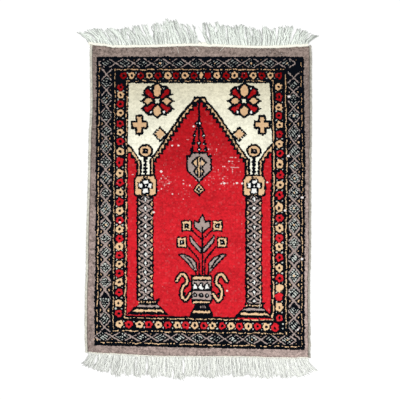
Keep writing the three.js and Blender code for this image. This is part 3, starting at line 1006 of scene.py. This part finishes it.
def pile_strip(name, first, last, x, y, tufts, colours, material):
    """One upright strip of the pile, closed below, with the rug's own rim rounded off."""
    x, y, tufts = (values[:, first:last + 1] for values in (x, y, tufts))
    inset = np.minimum.reduce([x - left_edge(y), right_edge(y) - x, y - foot_edge(x), niche_edge(x) - y])
    rim = np.clip(inset / RIM, 0, 1)
    top = FOUNDATION + RIM_FOOT + (PILE_TOP - FOUNDATION - RIM_FOOT) * np.sqrt(1 - (1 - rim) ** 2)
    top -= PILE_UNEVEN * tufts
    columns, rows = last - first, len(x) - 1
    vertices = np.stack((x, y, top), axis=2).reshape(-1, 3).tolist()
    faces = grid_faces(columns, rows)
    close_solid(vertices, faces, rim_loop(columns, rows), FOUNDATION - PILE_SINK)
    piece = new_piece(name, vertices, faces, material)
    face_colours(piece, colours[:, first:last].reshape(-1, 3))
    bake_map(piece, columns * rows)
    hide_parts("rug_body")
    return piece


def foundation(material, rng):
    """The woven ground under the pile, with the backs of the knots on its underside."""
    columns, rows = BACK_CELLS
    x, y = cell_grid(columns, rows)
    low = BACK_RELIEF * (0.5 + 0.5 * np.cos(np.arange(columns + 1) * math.pi))[None, :] * np.ones_like(x)
    low *= 0.6 + 0.4 * np.abs(soft_noise(x.shape, (2, 2), rng))
    low -= low.min()
    vertices = np.stack((x, y, low), axis=2).reshape(-1, 3).tolist()
    faces = grid_faces(columns, rows, flip=True)
    close_solid(vertices, faces, rim_loop(columns, rows), FOUNDATION, above=True)
    piece = new_piece("rug_sheet", vertices, faces, material)
    colours = wool(*cell_middles(x, y), rng)
    ground = linear(BACK_GROUND) * rng.uniform(0.7, 1.1, colours.shape[:2])[..., None]
    face_colours(piece, (BACK_DYE * colours + (1 - BACK_DYE) * ground).reshape(-1, 3))
    bake_map(piece, columns * rows)
    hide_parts("rug_body")
    return piece


def add_tube(vertices, faces, route, ring, heading=None):
    """Adds a closed tube. ring(n) gives its section's offsets, sideways and up, at point n of the route."""
    first, sides, last = len(vertices), len(ring(0)), len(route) - 1
    for n, (x, y, z) in enumerate(route):
        ahead, behind = route[min(n + 1, last)], route[max(n - 1, 0)]
        dx, dy = heading or (ahead[0] - behind[0], ahead[1] - behind[1])
        length = math.hypot(dx, dy)
        for side, up in ring(n):
            vertices.append((x + side * dy / length, y - side * dx / length, z + up))
    for n in range(last):
        for k in range(sides):
            a, b = first + n * sides + k, first + n * sides + (k + 1) % sides
            faces.append((a, b, b + sides, a + sides))
    end = first + last * sides
    faces.append(tuple(range(first + sides - 1, first - 1, -1)))
    faces.append(tuple(range(end, end + sides)))


def section(radius, sides, turn=0.0):
    """Offsets, sideways and up, of a round section's corners."""
    angles = [2 * math.pi * (k + turn) / sides for k in range(sides)]
    return [(radius * math.cos(angle), radius * math.sin(angle)) for angle in angles]


def overcast_edge(name, node, edge, side, rng, material):
    """A side cord, wrapped round and round with yarn: the wraps stand out as slanting, uneven ridges."""
    low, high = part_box(node)
    ys = np.arange(low[1] + CORD_SHORT, high[1] - CORD_SHORT, WRAP_PITCH / WRAP_STEPS)
    strength = rng.uniform(0.5, 1.25, WRAP_DRAWS)
    nub = 0.94 + 0.16 * soft_noise((len(ys), 1), (9, 1), rng)[:, 0]
    nub += 0.08 * soft_noise((len(ys), 1), (3, 1), rng)[:, 0]
    route = [(float(edge(y)) + side * (CORD_RADIUS + CORD_GAP), float(y), CORD_RADIUS) for y in ys]

    def ring(n):
        closing = min(1.0, 0.45 + 0.14 * min(n, len(route) - 1 - n))
        offsets = []
        for k in range(CORD_SIDES):
            angle = 2 * math.pi * k / CORD_SIDES
            turn = ys[n] / WRAP_PITCH + 0.22 * math.cos(angle) * side
            ridge = abs(math.sin(math.pi * turn))
            bulge = nub[n] - 0.2 * (1 - ridge) * strength[int(turn) % WRAP_DRAWS]
            radius = CORD_RADIUS * bulge * closing
            up = max(radius * math.sin(angle), LIFT - CORD_RADIUS)
            offsets.append((1.08 * radius * math.cos(angle), up))
        return offsets

    vertices, faces = [], []
    add_tube(vertices, faces, route, ring)
    piece = new_piece(name, vertices, faces, material)
    cells = (len(ys), CORD_SIDES)
    shade = 0.9 + 0.22 * soft_noise(cells, (6, 3), rng) + 0.12 * rng.normal(0, 1, cells)
    shade = np.append(np.clip(shade[:-1].reshape(-1), 0.35, 1.05), (0.8, 0.8))
    # The right cord's colour carries painted shade
    face_colours(piece, linear(CORD_COLOURS_AND_SHADE[side]) * shade[:, None])
    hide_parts(node)
    return piece


def end_web(name, node, edge, end, material):
    """The flat-woven strip past the pile, a ribbon with its wefts standing out as fine ridges."""
    columns, rows = WEB_CELLS
    outward = end["outward"]
    x_first, x_last = slab_low[0] + WEB_INSET, slab_high[0] - WEB_INSET
    vertices = []
    for m, share in enumerate(np.linspace(0, 1, rows + 1)):
        shape = math.sin(math.pi * min(max(share, 0.06), 0.94)) ** 0.35
        for n in range(columns + 1):
            x = x_first + (x_last - x_first) * n / columns
            start = float(edge(x)) + outward * WEB_GAP
            ridge = WEFT_HEIGHTS[0] * math.sin(n * 1.9 + 2.2 * (m % 2)) + WEFT_HEIGHTS[1] * (m % 2)
            vertices.append((x, start + outward * share * end["web"], WEB_TOP * shape - ridge))
    faces = grid_faces(columns, rows, flip=outward < 0)
    close_solid(vertices, faces, rim_loop(columns, rows)[::outward], LIFT)
    piece = new_piece(name, vertices, faces, material)
    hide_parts(node)
    return piece


def fringe(name, node, edge, end, rng, material):
    """Fine warp yarns in uneven locks, each one curling out from the strip and lying on the floor."""
    vertices, faces, tones = [], [], []
    root_x, last_x = slab_low[0] + 0.002, slab_high[0] - 0.002
    while root_x < last_x:
        lock = {
            "lean": rng.normal(0, end["lean"]),
            "reach": rng.uniform(*end["reach"]),
            "bundle": int(rng.integers(5, 8)),
            "gather": rng.uniform(*end["gather"]),
            "bend": rng.normal(0, 0.0028),
            "width": rng.uniform(0.009, 0.018),
            "tone": rng.normal(*end["tone"]),
        }
        lock["middle"] = root_x + lock["width"] / 2
        for n, x in enumerate(np.arange(root_x, min(root_x + lock["width"], last_x), YARN_PITCH)):
            bare = end["bare"][0] < x < end["bare"][1]
            if bare and rng.random() < 0.9:
                continue
            low = n % lock["bundle"] < 2
            route, radius, tone = one_yarn(x, edge, end, lock, low, 0.4 if bare else 1, rng)
            add_tube(
                vertices, faces, route,
                lambda n: section(radius * (1 if n < YARN_STEPS else 0.45), YARN_SIDES, 0.5),
            )
            # Painted shade: each yarn darkens towards its tip
            for n in range(YARN_STEPS):
                tones += [min(tone * (1 - 0.1 * (n / YARN_STEPS) ** 2), 1.08)] * YARN_SIDES
            tones += [tone, tone]
        root_x += lock["width"]
    piece = new_piece(name, vertices, faces, material)
    face_colours(piece, linear(end["colour"]) * np.array(tones)[:, None])
    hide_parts(node)
    return piece


def one_yarn(x, edge, end, lock, low, share, rng):
    """The route, radius and tone of one yarn of a lock; the tone holds painted shade and light by the yarn's
    height.
    """
    lean = read(end["yarns"], x) + lock["lean"] + rng.normal(0, 0.0015)
    reach = read(end["yarns"], x, 2) * lock["reach"] * rng.uniform(0.93, 1.04) * share
    root = end["web"] - ROOT_COVER
    start = float(edge(x)) + end["outward"] * root
    gather = (lock["middle"] - x) * lock["gather"]
    phase, waves = rng.uniform(0, TURN), rng.uniform(1.0, 2.6)
    swing = rng.uniform(0.0005, 0.0025)
    height = 0.0 if low else rng.uniform(0.0006, 0.0024)
    radius = YARN_RADIUS * rng.uniform(0.7, 1.25)
    curl = rng.normal(0, 0.003)
    route = []
    for n in range(YARN_STEPS + 1):
        t = n / YARN_STEPS
        side = lean * t ** 1.2 + gather * t ** 2 + lock["bend"] * math.sin(math.pi * t)
        side += swing * math.sin(phase + waves * TURN * t) * min(1, 3 * t) + curl * t ** 4
        out = start + end["outward"] * (reach - root) * t
        z = radius + 0.0006 + height * (1 - 0.5 * t) * (0.8 + 0.2 * math.sin(phase + 9 * t))
        route.append((x + side, out, z))
    # Painted shade and light: yarns that lie low are painted darker, higher ones lighter the higher they lie
    tone = lock["tone"] * rng.normal(1, 0.05) * (end["shadow"] if low else 0.92 + 50 * height)
    return route, radius, tone


def loose_threads(material):
    """Ends of white thread that lie on the pile."""
    vertices, faces = [], []
    for cx, cy, reach_x, reach_y in LOOSE_THREADS:
        x, y = MIDDLE[0] + cx * STEP, MIDDLE[1] + cy * STEP
        shares = [n / THREAD_STEPS for n in range(THREAD_STEPS + 1)]
        route = [
            (x + reach_x * STEP * t + 0.0012 * math.sin(5 * t), y + reach_y * STEP * t, PILE_TOP + 0.0003)
            for t in shares
        ]
        add_tube(
            vertices, faces, route,
            lambda n: section(THREAD_RADIUS * (1 if 0 < n < THREAD_STEPS else 0.5), THREAD_SIDES),
            heading=(reach_x, reach_y),
        )
    piece = new_piece("loose_threads", vertices, faces, material)
    return piece


# Materials
def fibre_material(name, scale, colour=None, depth=0.3):
    """Wool or cotton: mottle, soft sheen and a bump of fibres. Without a colour it takes its faces' own."""
    material = bpy.data.materials.new(name)
    material.use_nodes = True
    nodes, links = material.node_tree.nodes, material.node_tree.links
    shader = nodes["Principled BSDF"]
    shader.inputs["Roughness"].default_value = 0.95
    shader.inputs["Sheen Weight"].default_value = 0.02
    shader.inputs["Sheen Roughness"].default_value = 0.6
    shader.inputs["Specular IOR Level"].default_value = 0.02
    place = nodes.new("ShaderNodeTexCoord")
    noise = nodes.new("ShaderNodeTexNoise")
    noise.inputs["Scale"].default_value = scale
    noise.inputs["Detail"].default_value = 3.0
    links.new(place.outputs["Object"], noise.inputs["Vector"])
    spread = nodes.new("ShaderNodeMapRange")
    spread.inputs["To Min"].default_value = 1 - MOTTLE
    spread.inputs["To Max"].default_value = 1 + MOTTLE
    links.new(noise.outputs["Fac"], spread.inputs["Value"])
    mottle = nodes.new("ShaderNodeVectorMath")
    mottle.operation = "SCALE"
    if colour:
        source = nodes.new("ShaderNodeRGB")
        source.outputs[0].default_value = (*linear(colour), 1)
    else:
        source = nodes.new("ShaderNodeAttribute")
        source.attribute_name = "wool"
    links.new(source.outputs["Color"], mottle.inputs[0])
    links.new(spread.outputs["Result"], mottle.inputs["Scale"])
    links.new(mottle.outputs["Vector"], shader.inputs["Base Color"])
    bump = nodes.new("ShaderNodeBump")
    bump.inputs["Strength"].default_value = depth
    bump.inputs["Distance"].default_value = FIBRE_BUMP
    links.new(noise.outputs["Fac"], bump.inputs["Height"])
    links.new(bump.outputs["Normal"], shader.inputs["Normal"])
    return material


rng = np.random.default_rng(11)
pile_wool = fibre_material("pile_wool", 900.0)
back_wool = fibre_material("back_wool", 900.0)
edge_wool = fibre_material("edge_wool", 900.0, depth=0.4)
web_cotton = fibre_material("web_cotton", 1200.0, colour=WEB_COLOUR)
fringe_cotton = fibre_material("fringe_cotton", 1200.0)

columns, rows = [int(round(size / CELL)) for size in (slab_high - slab_low)[:2]]
xs, ys = cell_grid(columns, rows)
tufts = rng.random(xs.shape)
for row, outward in ((0, -1), (-1, 1)):
    ys[row] += outward * ROW_STRAY * (0.3 + soft_noise((1, columns + 1), (1, 2), rng)[0])
colours = wool(*cell_middles(xs, ys), rng)
cuts = [round(columns * n / PILE_STRIPS) for n in range(PILE_STRIPS + 1)]
pile = [
    pile_strip(f"pile_{n + 1}", cuts[n], cuts[n + 1], xs, ys, tufts, colours, pile_wool)
    for n in range(PILE_STRIPS)
]
rug_sheet = foundation(back_wool, rng)
cords = [
    overcast_edge("overcast_left", "selvedge_left", left_edge, -1, rng, edge_wool),
    overcast_edge("overcast_right", "selvedge_right", right_edge, 1, rng, edge_wool),
]
webs = [
    end_web("web_niche", "fringe_top", niche_edge, NICHE_END, web_cotton),
    end_web("web_foot", "fringe_bottom", foot_edge, FOOT_END, web_cotton),
]
fringes = [
    fringe("yarns_niche", "fringe_top", niche_edge, NICHE_END, rng, fringe_cotton),
    fringe("yarns_foot", "fringe_bottom", foot_edge, FOOT_END, rng, fringe_cotton),
]
threads = loose_threads(web_cotton)


# Floor, light and camera
def floor():
    bpy.ops.mesh.primitive_plane_add(size=12, location=(0, 0, 0))
    piece = bpy.context.object
    piece.name = "floor"
    material = bpy.data.materials.new("floor_paint")
    material.use_nodes = True
    shader = material.node_tree.nodes["Principled BSDF"]
    shader.inputs["Base Color"].default_value = (0.97, 0.97, 0.97, 1)
    shader.inputs["Roughness"].default_value = 0.9
    shader.inputs["Specular IOR Level"].default_value = 0.1
    piece.data.materials.append(material)
    return piece


def area_light(name, place, target, size, power):
    data = bpy.data.lights.new(name, "AREA")
    data.shape = "SQUARE"
    data.size = size
    data.energy = power
    light = bpy.data.objects.new(name, data)
    bpy.context.collection.objects.link(light)
    light.location = place
    light.rotation_euler = (Vector(target) - Vector(place)).to_track_quat("-Z", "Y").to_euler()
    return light


lights = [
    area_light("key_light", place=(0.9, -0.9, 2.6), target=(0.0, -0.1, 0.0), size=1.4, power=50),
    area_light("fill_light", place=(-1.4, 1.2, 2.4), target=(0.0, 0.0, 0.0), size=2.0, power=28),
]
floor()

world = bpy.data.worlds.new("room")
world.use_nodes = True
world.node_tree.nodes["Background"].inputs["Color"].default_value = (1, 1, 1, 1)
world.node_tree.nodes["Background"].inputs["Strength"].default_value = 0.42
bpy.context.scene.world = world
bpy.context.scene.view_settings.view_transform = "Standard"

camera_data = bpy.data.cameras.new("camera")
camera_data.lens = 85
camera_data.sensor_width = 36
camera_data.dof.use_dof = False
camera = bpy.data.objects.new("camera", camera_data)
bpy.context.collection.objects.link(camera)
distance = VIEW_WIDTH * camera_data.lens / camera_data.sensor_width
camera.location = (MIDDLE[0], MIDDLE[1], PILE_TOP + distance)
bpy.context.scene.camera = camera
